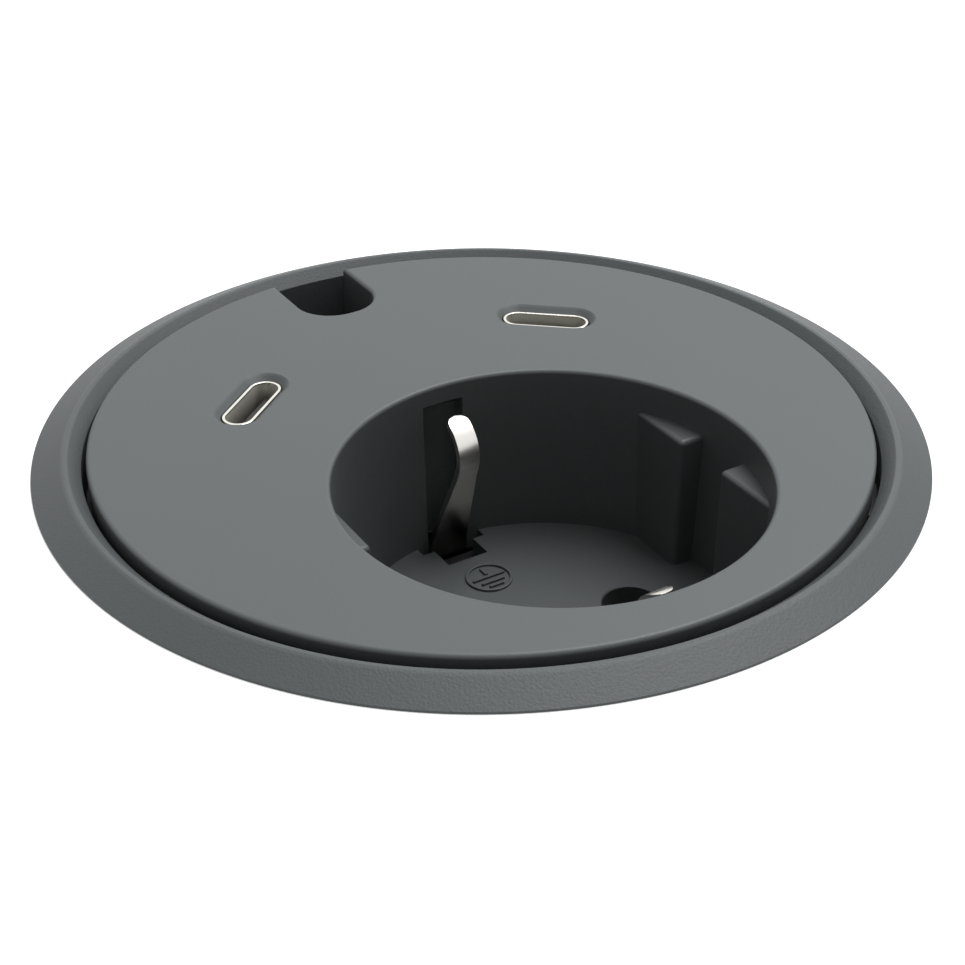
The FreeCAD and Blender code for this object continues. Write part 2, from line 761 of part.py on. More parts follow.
# The cup behind the face: grooved at the cable slot and at the sleeve's ledges, with four sprung
# hooks that catch under the ledges and two ribs that carry the contact block.
def rear_housing():
    high = disc_bottom
    far = bore_radius + over
    step_z = high - slot_collar_depth - fit
    collar_room = slot_collar_wall + fit
    groove_half = ledge_width / 2 + fit
    hollow = rod(housing_inner_radius, housing_inside, high + over)
    backing_half = groove_half + housing_wall
    backing = block(groove_radius - housing_wall, bore_radius, -backing_half, backing_half,
                    housing_bottom, high + 2 * over)
    hollow = hollow.cut([rotated(backing, angle) for angle in snap_angles])
    hollow = hollow.cut(prism(slot_corners(housing_wall, far), housing_bottom, high + 2 * over))
    wider = slot_corners(collar_room + housing_wall, far)
    hollow = hollow.cut(prism(wider, step_z - housing_wall, high + 2 * over))
    groove = block(groove_radius, far, -groove_half, groove_half, housing_bottom - over, high + over)
    slit_y = hook_width / 2 + fit + tongue_slit / 2
    slit = block(groove_radius - housing_wall - over, far,
                 slit_y - tongue_slit / 2, slit_y + tongue_slit / 2,
                 high - tongue_slit_depth, high + over)
    mirrored_slit = slit.mirror(FreeCAD.Vector(0, 0, 0), FreeCAD.Vector(0, 1, 0))
    cuts = [hollow]
    for angle in snap_angles:
        cuts += [rotated(shape, angle) for shape in (groove, slit, mirrored_slit)]
    cuts.append(prism(slot_corners(0, far), housing_bottom - over, high + over))
    cuts.append(prism(slot_corners(collar_room, far), step_z, high + over))
    low_cut, high_cut = housing_bottom - over, housing_inside + over
    cuts += [rod(screw_radius + close_fit, low_cut, high_cut, x, y) for x, y in pillar_places]
    cuts.append(rod(gland_neck_radius + close_fit, low_cut, high_cut, *gland_place))
    body = rod(housing_radius, housing_bottom, high).cut(cuts)
    hook_top = high - ledge_height - fit
    hook_face = Part.Face(Part.Wire(outline([
        (groove_radius - housing_wall / 2, hook_top),
        (bore_radius - housing_gap / 2, hook_top),
        (bore_radius - housing_gap / 2, hook_top - hook_lip),
        (groove_radius, hook_top - hook_height),
        (groove_radius - housing_wall / 2, hook_top - hook_height),
    ], upright)))
    hook = hook_face.extrude(FreeCAD.Vector(0, hook_width, 0))
    hook.translate(FreeCAD.Vector(0, -hook_width / 2, 0))
    rib = block(pin_reach - housing_wall / 2, pin_reach + housing_wall / 2, -rib_length / 2, rib_length / 2,
                housing_inside - over / 2, block_bottom)
    ribs = [at_well(shape) for shape in both_ends(rib)]
    return body.fuse([rotated(hook, angle) for angle in snap_angles] + ribs)


# A bush that snaps into the housing's floor: the supply cord comes in through its bore.
def cord_gland():
    flange_low = housing_bottom - gland_flange_height
    snap_low = housing_inside
    return turned([
        (gland_bore_radius, flange_low),
        (gland_flange_radius - gland_edge, flange_low),
        (gland_flange_radius, flange_low + gland_edge),
        (gland_flange_radius, housing_bottom),
        (gland_neck_radius, housing_bottom),
        (gland_neck_radius, snap_low + close_fit),
        (gland_neck_radius + gland_snap, snap_low + close_fit),
        (gland_neck_radius, snap_low + gland_snap_height),
        (gland_bore_radius, snap_low + gland_snap_height),
    ], *gland_place)


save("bezel_sleeve", bezel_sleeve())
save("face_insert", face_insert())
save("rear_housing", rear_housing())
save("clamp_washer", clamp_washer())
save("ring_nut", ring_nut())
save("earth_bow", earth_bow())
save("contact_block", contact_block())
save("safety_shutter", safety_shutter())
save("shutter_spring", shutter_spring())
for name, side in contact_sides.items():
    save(name, line_contact(side))
save("terminal_screws", terminal_screws())
for name, side in port_sides.items():
    save("usb_shell_" + name, port_shell(side))
    save("usb_tongue_" + name, port_tongue(side))
save("charger_board", charger_board())
save("charger_transformer", charger_transformer())
save("charger_capacitors", charger_capacitors())
save("charger_chips", charger_chips())
save("housing_screws", housing_screws())
save("cord_gland", cord_gland())
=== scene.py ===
import math

import bmesh
import bpy
from mathutils import Matrix, Vector


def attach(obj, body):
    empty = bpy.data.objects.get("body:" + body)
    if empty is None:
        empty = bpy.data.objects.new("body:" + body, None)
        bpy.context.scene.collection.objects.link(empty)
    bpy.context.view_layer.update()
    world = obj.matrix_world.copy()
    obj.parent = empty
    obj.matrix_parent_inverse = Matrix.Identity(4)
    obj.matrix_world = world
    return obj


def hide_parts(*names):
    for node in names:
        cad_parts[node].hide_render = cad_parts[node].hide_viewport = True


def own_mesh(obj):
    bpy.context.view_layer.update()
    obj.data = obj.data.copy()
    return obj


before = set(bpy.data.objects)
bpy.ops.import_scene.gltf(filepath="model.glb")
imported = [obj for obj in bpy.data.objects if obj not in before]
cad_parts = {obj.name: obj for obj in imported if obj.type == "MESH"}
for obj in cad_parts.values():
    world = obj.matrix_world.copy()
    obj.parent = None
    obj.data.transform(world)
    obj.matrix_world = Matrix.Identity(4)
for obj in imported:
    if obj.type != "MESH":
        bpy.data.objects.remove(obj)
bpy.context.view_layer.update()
print("frame loaded:", len(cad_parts), "nodes")

# Shapes are drawn in millimetres and scaled to metres when their mesh is written.
metre = 0.001
near = 1e-4  # Corners this close are one, and heights this close are one level.
upAxis = (0, 0, 1)
halfTurn = Matrix.Rotation(math.pi, 4, "Z")


# Drawing helpers

def vertsIn(parts):
    return [part for part in parts if isinstance(part, bmesh.types.BMVert)]


def openEdges(bm):
    return [edge for edge in bm.edges if edge.is_boundary]


# A closed outline. A line goes to (x, y); an arc turns about (x, y) by degrees in steps.
def drawLoop(bm, start, moves, height=0.0):
    first = pen = bm.verts.new((*start, height))
    known = set(bm.edges)
    for kind, x, y, *turn in moves:
        if kind == "line":
            pen = bmesh.ops.extrude_vert_indiv(bm, verts=[pen])["verts"][0]
            pen.co = (x, y, height)
        else:
            degrees, steps = turn
            turned = bmesh.ops.spin(bm, geom=[pen], cent=(x, y, height), axis=upAxis,
                                    angle=math.radians(degrees), steps=steps)
            pen = vertsIn(turned["geom_last"])[0]
    if (pen.co - first.co).length < near:
        bmesh.ops.pointmerge(bm, verts=[first, pen], merge_co=first.co)
    else:
        bm.edges.new((pen, first))
    return [edge for edge in bm.edges if edge not in known]


def drawCircle(bm, radius, height, segments, centre=(0.0, 0.0)):
    place = Matrix.Translation((*centre, height))
    ring = bmesh.ops.create_circle(bm, cap_ends=False, segments=segments, radius=radius, matrix=place)
    return list(dict.fromkeys(edge for vert in ring["verts"] for edge in vert.link_edges))


def drawOval(bm, length, width, height, place=Matrix(), steps=20):
    reach, radius = (length - width) / 2, width / 2
    ends = [("arc", reach, 0, 180, steps), ("line", -reach, radius), ("arc", -reach, 0, 180, steps)]
    edges = drawLoop(bm, (reach, -radius), ends, height)
    verts = list(dict.fromkeys(vert for edge in edges for vert in edge.verts))
    bmesh.ops.transform(bm, matrix=place, verts=verts)
    return edges


def fillFlat(bm, *loops):
    edges = [edge for loop in loops for edge in loop]
    bmesh.ops.triangle_fill(bm, use_beauty=True, use_dissolve=False, edges=edges)


# A bridge can cross over between two loops at one height, so those are filled.
def joinLoops(bm, loops):
    for upper, lower in zip(loops, loops[1:]):
        if abs(upper[0].verts[0].co.z - lower[0].verts[0].co.z) < near:
            fillFlat(bm, upper, lower)
        else:
            bmesh.ops.bridge_loops(bm, edges=upper + lower)


# Inset and height of each loop over a rounded rim, from the flat top down to the wall.
def roundSteps(radius, top, count=6):
    steps = []
    for index in range(count + 1):
        angle = math.pi / 2 * index / count
        steps.append((radius * (1 - math.sin(angle)), top - radius * (1 - math.cos(angle))))
    return steps


# The corners (radius, height) of a section in the XZ plane. Where one has a third number, a vertex
# bevel gives it that round.
def drawProfile(bm, corners, steps=5):
    spots = [Vector((corner[0], 0, corner[1])) for corner in corners]
    bm.faces.new([bm.verts.new(spot) for spot in spots])
    for index, (spot, corner) in enumerate(zip(spots, corners)):
        if len(corner) < 3:
            continue
        back = (spots[index - 1] - spot).normalized()
        ahead = (spots[(index + 1) % len(spots)] - spot).normalized()
        run = corner[2] / math.tan(back.angle(ahead) / 2)
        vert = min(bm.verts, key=lambda v: (v.co - spot).length)
        bmesh.ops.bevel(bm, geom=[vert], offset=run, offset_type="OFFSET", segments=steps, profile=0.5,
                        affect="VERTICES", material=-1)
    bmesh.ops.delete(bm, geom=bm.faces[:], context="FACES_ONLY")


def turnProfile(corners, segments, centre=(0.0, 0.0), steps=5):
    bm = bmesh.new()
    drawProfile(bm, corners, steps)
    bmesh.ops.spin(bm, geom=bm.verts[:] + bm.edges[:], cent=(0, 0, 0), axis=upAxis, angle=math.tau,
                   steps=segments, use_merge=True)
    bmesh.ops.translate(bm, vec=(*centre, 0), verts=bm.verts[:])
    return tidyShape(bm)


def drawBox(low, high):
    bm = bmesh.new()
    size = [b - a for a, b in zip(low, high)]
    middle = [(a + b) / 2 for a, b in zip(low, high)]
    bmesh.ops.create_cube(bm, size=1.0, matrix=Matrix.Translation(middle) @ Matrix.Diagonal((*size, 1)))
    return bm


def roundEdges(bm, edges, radius, steps):
    bmesh.ops.bevel(bm, geom=edges, offset=radius, offset_type="OFFSET", segments=steps, profile=0.5,
                    affect="EDGES", material=-1, clamp_overlap=True)


# Cuts through the whole shape, clears what lies on the normal's side and gives the cut's edges.
def cutPlane(bm, spot, normal, clear=True):
    everything = bm.verts[:] + bm.edges[:] + bm.faces[:]
    cut = bmesh.ops.bisect_plane(bm, geom=everything, plane_co=spot, plane_no=normal, clear_outer=clear)
    return [part for part in cut["geom_cut"] if isinstance(part, bmesh.types.BMEdge)]


# Walls grow from the edges to a plane: flat holds 0 for the axis across it and 1 for the others.
def growToPlane(bm, edges, flat, spot):
    grown = bmesh.ops.extrude_edge_only(bm, edges=edges)["geom"]
    bmesh.ops.scale(bm, vec=flat, verts=vertsIn(grown), space=Matrix.Translation(-Vector(spot)))


def tidyShape(bm):
    bmesh.ops.remove_doubles(bm, verts=bm.verts[:], dist=near)
    bmesh.ops.recalc_face_normals(bm, faces=bm.faces[:])
    return bm


def moveShape(bm, matrix):
    bmesh.ops.transform(bm, matrix=matrix, verts=bm.verts[:])
    return bm


def putInScene(name, data):
    thing = bpy.data.objects.new(name, data)
    bpy.context.scene.collection.objects.link(thing)
    return thing


# All shapes of one piece go into one mesh. Sharp corners stay, and rounds blend into their flats.
def makePiece(name, shapes, finish, body="base", replaced=(), sharpAngle=35):
    whole = bmesh.new()
    for shape in shapes:
        part = bpy.data.meshes.new("part")
        shape.to_mesh(part)
        whole.from_mesh(part)
        shape.free()
        bpy.data.meshes.remove(part)
    bmesh.ops.scale(whole, vec=(metre, metre, metre), verts=whole.verts[:])
    mesh = bpy.data.meshes.new(name)
    whole.to_mesh(mesh)
    whole.free()
    mesh.shade_smooth()
    mesh.set_sharp_from_angle(angle=math.radians(sharpAngle))
    piece = putInScene(name, mesh)
    weigh = piece.modifiers.new("cornerShade", "WEIGHTED_NORMAL")
    weigh.keep_sharp = True
    weigh.weight = 60
    mesh.materials.append(finish)
    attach(piece, body)
    if replaced:
        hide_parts(*replaced)
    return piece


# Shader helpers

class Link:
    def __init__(self, nodes, socket):
        self.nodes = nodes
        self.socket = socket

    def work(self, operation, first, second):
        return self.nodes.add("ShaderNodeMath", {"operation": operation}, {0: first, 1: second})

    def __add__(self, other):
        return self.work("ADD", self, other)

    def __radd__(self, other):
        return self.work("ADD", other, self)

    def __sub__(self, other):
        return self.work("SUBTRACT", self, other)

    def __rsub__(self, other):
        return self.work("SUBTRACT", other, self)

    def __mul__(self, other):
        return self.work("MULTIPLY", self, other)

    def __rmul__(self, other):
        return self.work("MULTIPLY", other, self)


class NodeSet:
    def __init__(self, owner):
        owner.use_nodes = True
        self.tree = owner.node_tree

    def plug(self, socket, value):
        if isinstance(value, Link):
            self.tree.links.new(value.socket, socket)
        else:
            socket.default_value = value

    # Any node: its settings first, and then the values or links of its sockets.
    def add(self, kind, settings=None, sockets=None, output=0):
        node = self.tree.nodes.new(kind)
        for key, value in (settings or {}).items():
            setattr(node, key, value)
        for key, value in (sockets or {}).items():
            self.plug(node.inputs[key], value)
        return Link(self, node.outputs[output])

    # One where a surface is seen by the camera, in a gloss or through glass.
    def seen(self):
        camera, glossy, through = [self.add("ShaderNodeLightPath", output="Is " + kind + " Ray")
                                   for kind in ("Camera", "Glossy", "Transmission")]
        return camera + glossy + through


class Finish(NodeSet):
    def __init__(self, name, **fixed):
        self.material = bpy.data.materials.new(name)
        super().__init__(self.material)
        self.shader = self.tree.nodes["Principled BSDF"]
        for socket, value in fixed.items():
            self.feed(socket.replace("_", " "), value)

    def feed(self, socket, value):
        self.plug(self.shader.inputs[socket], value)

    def feedBump(self, height, strength, distance):
        sockets = {"Height": height, "Strength": strength, "Distance": distance}
        self.feed("Normal", self.add("ShaderNodeBump", None, sockets))

    def noise(self, spot, scale, detail=2.0):
        return self.add("ShaderNodeTexNoise", None, {"Vector": spot, "Scale": scale, "Detail": detail}, "Fac")

    def blend(self, factor, first, second):
        ends = [end if isinstance(end, Link) else (*end, 1) for end in (first, second)]
        return self.add("ShaderNodeMix", {"data_type": "RGBA"}, {0: factor, 6: ends[0], 7: ends[1]}, 2)

    def cloudTone(self, cloud, tone, spread):
        return self.blend(cloud, [c * (1 - spread) for c in tone], [min(1, c * (1 + spread)) for c in tone])

    # Zero below the low height, one above the high one.
    def height(self, spot, low, high):
        z = self.add("ShaderNodeSeparateXYZ", None, {"Vector": spot}, "Z")
        sockets = {"Value": z, "From Min": low * metre, "From Max": high * metre}
        return self.add("ShaderNodeMapRange", None, sockets, "Result")


# What every plastic and every metal has, unless its own look says otherwise.
plainPlastic = {"specular": 0.5, "cloudScale": 60.0, "toneSpread": 0.03, "grainScale": 5000.0,
                "grainDetail": 1.0, "grain": 0.1, "grainDepth": 0.0001, "glossSpread": 0.1, "sunk": ()}
plainMetal = {"cloudScale": 150.0, "toneSpread": 0.04, "stretch": (1, 1, 1), "markScale": 3000.0,
              "markDetail": 3.0, "marks": 0.05, "markDepth": 0.00005, "glossSpread": 0.08, "cloudGloss": 0.04,
              "paintedShade": ()}


# A moulded plastic: a slow change of tone, and a fine grain in gloss and height. Each band of sunk is
# (low, high, share): below it the colour is darker, as painted shade on slopes and in recesses.
def makePlastic(name, ownLook):
    look = {**plainPlastic, **ownLook}
    finish = Finish(name, IOR=1.5, Specular_IOR_Level=look["specular"])
    spot = finish.add("ShaderNodeTexCoord", output="Object")
    cloud = finish.noise(spot, look["cloudScale"])
    grain = finish.noise(spot, look["grainScale"], look["grainDetail"])
    colour = finish.cloudTone(cloud, look["tone"], look["toneSpread"])
    # Painted shade: each band darkens the colour below its height.
    for low, high, share in look["sunk"]:
        shadedTone = finish.cloudTone(cloud, [c * share for c in look["tone"]], look["toneSpread"])
        colour = finish.blend(finish.height(spot, low, high), shadedTone, colour)
    finish.feed("Base Color", colour)
    finish.feed("Roughness", look["rough"] + (grain - 0.5) * look["glossSpread"])
    finish.feedBump(grain, look["grain"], look["grainDepth"])
    return finish.material


# A metal: cloudy gloss, and fine marks, drawn out along one axis where the look gives a stretch.
# satin = (low, high, rough, metal) leaves the surface unpolished below a height. Each shade band
# is (low, high, share) and darkens the colour below it: painted shade down in recesses and below.
def makeMetal(name, ownLook):
    look = {**plainMetal, **ownLook}
    finish = Finish(name, Metallic=1.0)
    spot = finish.add("ShaderNodeTexCoord", output="Object")
    along = finish.add("ShaderNodeMapping", None, {"Vector": spot, "Scale": look["stretch"]})
    cloud = finish.noise(spot, look["cloudScale"])
    marks = finish.noise(along, look["markScale"], look["markDetail"])
    colour = finish.cloudTone(cloud, look["tone"], look["toneSpread"])
    # Painted shade: each band darkens the colour below its height.
    for low, high, share in look["paintedShade"]:
        colour = finish.blend(finish.height(spot, low, high), [c * share for c in look["tone"]], colour)
    finish.feed("Base Color", colour)
    gloss = look["rough"] + (marks - 0.5) * look["glossSpread"] + (cloud - 0.5) * look["cloudGloss"]
    if "satin" in look:
        low, high, rough, metal = look["satin"]
        rim = finish.height(spot, low, high)
        gloss = gloss * rim + (1 - rim) * rough
        finish.feed("Metallic", rim * (1 - metal) + metal)
    finish.feed("Roughness", gloss)
    finish.feedBump(marks, look["marks"], look["markDepth"])
    return finish.material


plastics = {
    # Painted shade: the ring's colour is darker below its crest, on its slopes and in its bore.
    "ring": {"tone": (0.124, 0.136, 0.139), "rough": 0.52, "specular": 0.45, "grain": 0.35,
             "grainScale": 4200.0, "sunk": ((1.40, 1.50, 0.73),)},
    # Painted shade: darker below the disc's flat top, on its rounded edges and window dishes, and darker again
    # at the well's floor.
    "face": {"tone": (0.127, 0.139, 0.142), "rough": 0.48, "grain": 0.12, "grainScale": 5200.0,
             "sunk": ((1.28, 1.46, 0.68), (-15.6, -13.0, 0.61))},
    "rear": {"tone": (0.060, 0.062, 0.064), "rough": 0.55, "specular": 0.4, "grain": 0.2},
    "nut": {"tone": (0.045, 0.046, 0.048), "rough": 0.5, "specular": 0.4, "grain": 0.2},
    "block": {"tone": (0.018, 0.018, 0.019), "rough": 0.5},
    "shutter": {"tone": (0.030, 0.030, 0.032), "rough": 0.45},
    "tongue": {"tone": (0.012, 0.012, 0.013), "rough": 0.3},
    "board": {"tone": (0.02, 0.13, 0.06), "rough": 0.3},
    "winding": {"tone": (0.60, 0.42, 0.06), "rough": 0.4},
    "chip": {"tone": (0.02, 0.02, 0.022), "rough": 0.45},
    "gland": {"tone": (0.025, 0.025, 0.026), "rough": 0.65, "specular": 0.3},
}
metals = {
    # Painted shade: the clips are darker below their knees, and much darker deep down in the well.
    "clip": {"tone": (0.82, 0.80, 0.76), "rough": 0.29, "stretch": (1, 1, 0.08),
             "paintedShade": ((-5.4, -4.2, 0.66), (-14.4, -10.5, 0.10))},
    # Painted shade: the shell is darker inside the port, below its polished rim.
    "shell": {"tone": (0.92, 0.91, 0.83), "rough": 0.16, "marks": 0.03, "satin": (0.80, 0.92, 0.20, 0.45),
              "paintedShade": ((-1.5, 0.5, 0.28),)},
    "steel": {"tone": (0.55, 0.55, 0.54), "rough": 0.32, "marks": 0.1},
    "spring": {"tone": (0.5, 0.5, 0.5), "rough": 0.25},
    "brass": {"tone": (0.75, 0.55, 0.25), "rough": 0.25},
    "screw": {"tone": (0.6, 0.6, 0.58), "rough": 0.28},
    "can": {"tone": (0.55, 0.56, 0.58), "rough": 0.3},
    "pad": {"tone": (0.83, 0.64, 0.30), "rough": 0.2},
}
finishes = {name: makePlastic(name + "Plastic", look) for name, look in plastics.items()}
finishes.update({name: makeMetal(name + "Metal", look) for name, look in metals.items()})
print("finishes made:", len(finishes))


# Bezel ring and barrel: one turned section, with the thread and the keyways outside.
bezel = {
    "bore": 36.9, "crestInner": 38.05, "crestOuter": 38.4, "crestTop": 1.55, "crestRound": 0.06,
    "bevelFoot": 0.42, "bevelRound": 0.1, "outer": 41.4, "lip": 0.2, "spigot": 39.2, "spigotFoot": -8.0,
    "spigotSlant": 0.4, "barrel": 38.8, "root": 37.9, "foot": -48.0, "keyTop": -9.4, "keyHalf": 3.0,
    "keyDepth": 0.5, "segments": 288,
}
thread = {
    "pitch": 4.0, "width": 2.5, "flank": 0.5, "sunk": 0.1, "steps": 120,
    "bandHeight": 1.0, "bandSlant": 0.5, "bandSunk": 0.3,  # The plain band at the thread's start
}


def makeThread():
    bm = bmesh.new()
    root, crest = bezel["root"] - thread["sunk"], bezel["barrel"]
    width, flank = thread["width"], thread["flank"]
    low = bezel["foot"] - width
    ridge = [(root, low), (crest, low + flank), (crest, low + width - flank), (root, low + width)]
    verts = [bm.verts.new((r, 0, z)) for r, z in ridge]
    edges = [bm.edges.new(pair) for pair in zip(verts, verts[1:])]
    turns = math.ceil((bezel["keyTop"] - low) / thread["pitch"]) + 1
    steps = thread["steps"]
    bmesh.ops.spin(bm, geom=verts + edges, cent=(0, 0, 0), axis=upAxis,
                   dvec=(0, 0, thread["pitch"] / steps), angle=math.tau * turns, steps=steps * turns)
    cutPlane(bm, (0, 0, bezel["keyTop"]), (0, 0, 1))
    cutPlane(bm, (0, 0, bezel["foot"] + thread["bandHeight"]), (0, 0, -1))
    bmesh.ops.recalc_face_normals(bm, faces=bm.faces[:])
    outermost = max(bm.faces, key=lambda f: f.calc_center_median().xy.length)
    if outermost.normal.xy.dot(outermost.calc_center_median().xy) < 0:
        bmesh.ops.reverse_faces(bm, faces=bm.faces[:])
    return bm


def makeFootBand():
    low = bezel["foot"]
    top, slant, crest, root = low + thread["bandHeight"], thread["bandSlant"], bezel["barrel"], bezel["root"]
    inner = root - thread["bandSunk"]
    return turnProfile([(inner, low), (crest - slant, low), (crest, low + slant), (crest, top), (inner, top)],
                       bezel["segments"])


# The keyways open the thread's crests down to its root, and their sides close the cut ridges.
def cutKeyways(bm):
    half = bezel["keyHalf"]
    for side in (-1, 1):
        cutPlane(bm, (0, side * half, 0), (0, side, 0), clear=False)
    inside = [part for part in bm.faces if abs(part.calc_center_median().y) < half]
    bmesh.ops.delete(bm, geom=inside, context="FACES")
    for side in (-1, 1):
        for end in (-1, 1):
            rim = [edge for edge in openEdges(bm) if all(
                abs(vert.co.y - side * half) < near and vert.co.x * end > 0 for vert in edge.verts)]
            growToPlane(bm, rim, (0, 1, 1), (end * (bezel["root"] - bezel["keyDepth"]), 0, 0))
    return bm


# Four ledges carry the disc, with a relief beside the bore. A rib joins them round the bore and
# stops at the cable slot, which is at 90 degrees.
ledges = {
    "angles": (45, 135, 225, 315), "inner": 35.2, "half": 4.0, "top": -1.5, "height": 2.5, "sunk": 0.4,
    "relief": 36.3, "reliefTop": -3.0,
    "ribInner": 36.1, "ribTop": -3.5, "ribHeight": 0.5, "ribSunk": 0.3, "slotAngle": 90, "slotGap": 10,
}


def makeRib():
    bm = bmesh.new()
    outer, inner = bezel["bore"] + ledges["ribSunk"], ledges["ribInner"]
    top, low = ledges["ribTop"], ledges["ribTop"] - ledges["ribHeight"]
    drawProfile(bm, [(outer, top), (inner, top), (inner, low), (outer, low)])
    start = math.radians(ledges["slotAngle"] + ledges["slotGap"])
    moveShape(bm, Matrix.Rotation(start, 4, "Z"))
    bmesh.ops.spin(bm, geom=bm.verts[:] + bm.edges[:], cent=(0, 0, 0), axis=upAxis,
                   angle=math.radians(360 - 2 * ledges["slotGap"]), steps=bezel["segments"])
    bmesh.ops.holes_fill(bm, edges=openEdges(bm), sides=0)
    return tidyShape(bm)


def makeLedges():
    half, low = ledges["half"], ledges["top"] - ledges["height"]
    steps = ((ledges["inner"], ledges["relief"], ledges["top"]),
             (ledges["relief"], bezel["bore"] + ledges["sunk"], ledges["reliefTop"]))
    return [moveShape(drawBox((start, -half, low), (end, half, top)),
                      Matrix.Rotation(math.radians(angle), 4, "Z"))
            for angle in ledges["angles"] for start, end, top in steps]


def makeBezel():
    b = bezel
    crest, bevel = b["crestRound"], b["bevelRound"]
    section = turnProfile([
        (b["bore"], b["foot"]), (b["root"], b["foot"]), (b["root"], b["keyTop"]), (b["barrel"], b["keyTop"]),
        (b["barrel"], b["spigotFoot"] - b["spigotSlant"]), (b["spigot"], b["spigotFoot"]), (b["spigot"], 0),
        (b["outer"], 0), (b["outer"], b["lip"], crest), (b["crestOuter"], b["crestTop"], crest),
        (b["crestInner"], b["crestTop"], crest), (b["bore"], b["bevelFoot"], bevel)], b["segments"])
    shapes = [section, makeRib(), cutKeyways(makeFootBand()), cutKeyways(makeThread()), *makeLedges()]
    return makePiece("bezelRing", shapes, finishes["ring"], replaced=["bezel_sleeve"])


makeBezel()
print("bezel ring and barrel made")


# Face disc with the port windows and the cable slot.
face = {
    "radius": 36.4, "top": 1.5, "under": -1.5, "edgeRound": 0.45, "edgeSteps": 280,
    "slotHalf": 4.15, "slotInner": 26.3, "slotCorner": 3.85, "cornerSteps": 16,
    "collarWall": 1.2, "collarFoot": -9.5, "collarReach": 0.35,
    "portRadius": 22.27, "portAngle": 48.96, "portTurn": 40.0, "window": (10.5, 4.85), "windowFoot": 0.95,
    "lipInset": 0.16, "lipDepth": 0.06, "passage": (9.24, 3.5), "shroud": (11.64, 5.9), "shroudFoot": -4.0,
    "posts": ((27.007, -3.988), (-27.007, -3.988), (0.0, 17.2)), "postRadius": 3.0, "postFoot": -44.0,
    "postRoot": 4.0, "postStep": -6.26, "postSegments": 48,
}
# The outlet's well below it, with the clips' slots and the pin holes.
well = {
    "centre": (0.0, -12.15), "rim": 19.6, "rimRound": 0.42, "rimSteps": 8, "outer": 21.0, "segments": 220,
    "rows": (-5.0, -10.0), "floor": -16.1, "floorRadius": 19.1, "floorSunk": 0.2, "floorSteps": 90,
    "under": -18.1, "slotSteps": 4, "slotTop": -0.45, "slotBack": 21.1,
    "seatGap": 0.2, "bossHalf": 3.1, "bossGap": 0.05, "bossBack": 22.0, "bossRise": 0.9,
    "pocketWide": 3.55, "pocketNarrow": 2.25, "pocketBack": 19.6, "pocketStep": 17.6, "pocketFront": 14.75,
    "pinReach": 9.5, "pinRadius": 2.85, "pinEdge": 0.12, "pinSegments": 72,
}
atWell = Matrix.Translation((*well["centre"], 0))


def portPlace(side):
    angle = math.radians(90 - side * face["portAngle"])
    spot = Vector((face["portRadius"] * math.cos(angle), face["portRadius"] * math.sin(angle), 0))
    return Matrix.Translation(spot) @ Matrix.Rotation(math.radians(-side * face["portTurn"]), 4, "Z")


# The cable slot's U, in from its mouth on one side and out to its mouth on the other.
def slotMoves(side, half, corner, inner, mouth):
    bend, depth, steps = side * (half - corner), inner + corner, face["cornerSteps"]
    return [("line", side * half, depth), ("arc", bend, depth, -90 * side, steps), ("line", -bend, inner),
            ("arc", -bend, depth, -90 * side, steps), ("line", -side * half, mouth)]


def drawDiscOutline(bm, inset, height):
    radius, half, corner = face["radius"] - inset, face["slotHalf"] + inset, face["slotCorner"] + inset
    mouth = math.sqrt(radius ** 2 - half ** 2)
    sweep = 360 - 2 * math.degrees(math.asin(half / radius))
    moves = slotMoves(1, half, corner, face["slotInner"] - inset, mouth)
    return drawLoop(bm, (half, mouth), moves + [("arc", 0, 0, sweep, face["edgeSteps"])], height)


def makeDisc():
    bm = bmesh.new()
    top, under, floor = face["top"], face["under"], well["floor"]
    outer = [drawDiscOutline(bm, inset, height) for inset, height in roundSteps(face["edgeRound"], top)]
    outer.append(drawDiscOutline(bm, 0, under))
    joinLoops(bm, outer)

    def drawRing(radius, height):
        return drawCircle(bm, radius, height, well["segments"], well["centre"])

    wall = [drawRing(well["rim"] + inset, height)
            for inset, height in roundSteps(well["rimRound"], top, well["rimSteps"])]
    slope = (well["rim"] - well["floorRadius"]) / (top - floor)
    for height in (well["slotTop"], *well["rows"], floor, well["under"]):
        wall.append(drawRing(well["floorRadius"] + slope * (max(height, floor) - floor), height))
    wall += [drawRing(well["outer"], well["under"]), drawRing(well["outer"], under)]
    joinLoops(bm, wall)

    windows, passages = [], []
    for side in (-1, 1):
        lip = [size - face["lipInset"] for size in face["window"]]
        rows = ((face["window"], top), (lip, top - face["lipDepth"]), (face["passage"], face["windowFoot"]),
                (face["passage"], face["shroudFoot"]), (face["shroud"], face["shroudFoot"]),
                (face["shroud"], under))
        ovals = [drawOval(bm, *size, height, portPlace(side)) for size, height in rows]
        joinLoops(bm, ovals)
        windows.append(ovals[0])
        passages.append(ovals[-1])
    fillFlat(bm, outer[0], wall[0], *windows)
    fillFlat(bm, outer[-1], wall[-1], *passages)
    openClipSlots(bm)
    return tidyShape(bm)


# Each earth clip stands before a slot in the well's wall: its columns of faces are opened and boxed in.
def openClipSlots(bm):
    cx, cy = well["centre"]
    step = math.tau / well["segments"]
    widest = (well["slotSteps"] - 0.25) * step  # A little less, so that the next columns stay
    for end in (-1, 1):
        opened = []
        for part in bm.faces:
            middle = part.calc_center_median()
            x, y = middle.x - cx, middle.y - cy
            inWall = math.hypot(x, y) < (well["rim"] + well["outer"]) / 2
            if inWall and abs(math.atan2(x, y * end)) < widest and well["floor"] < middle.z < well["slotTop"]:
                opened.append(part)
        bmesh.ops.delete(bm, geom=opened, context="FACES")
        growToPlane(bm, openEdges(bm), (1, 0, 1), (0, cy + end * well["slotBack"], 0))
        bmesh.ops.holes_fill(bm, edges=openEdges(bm), sides=0)


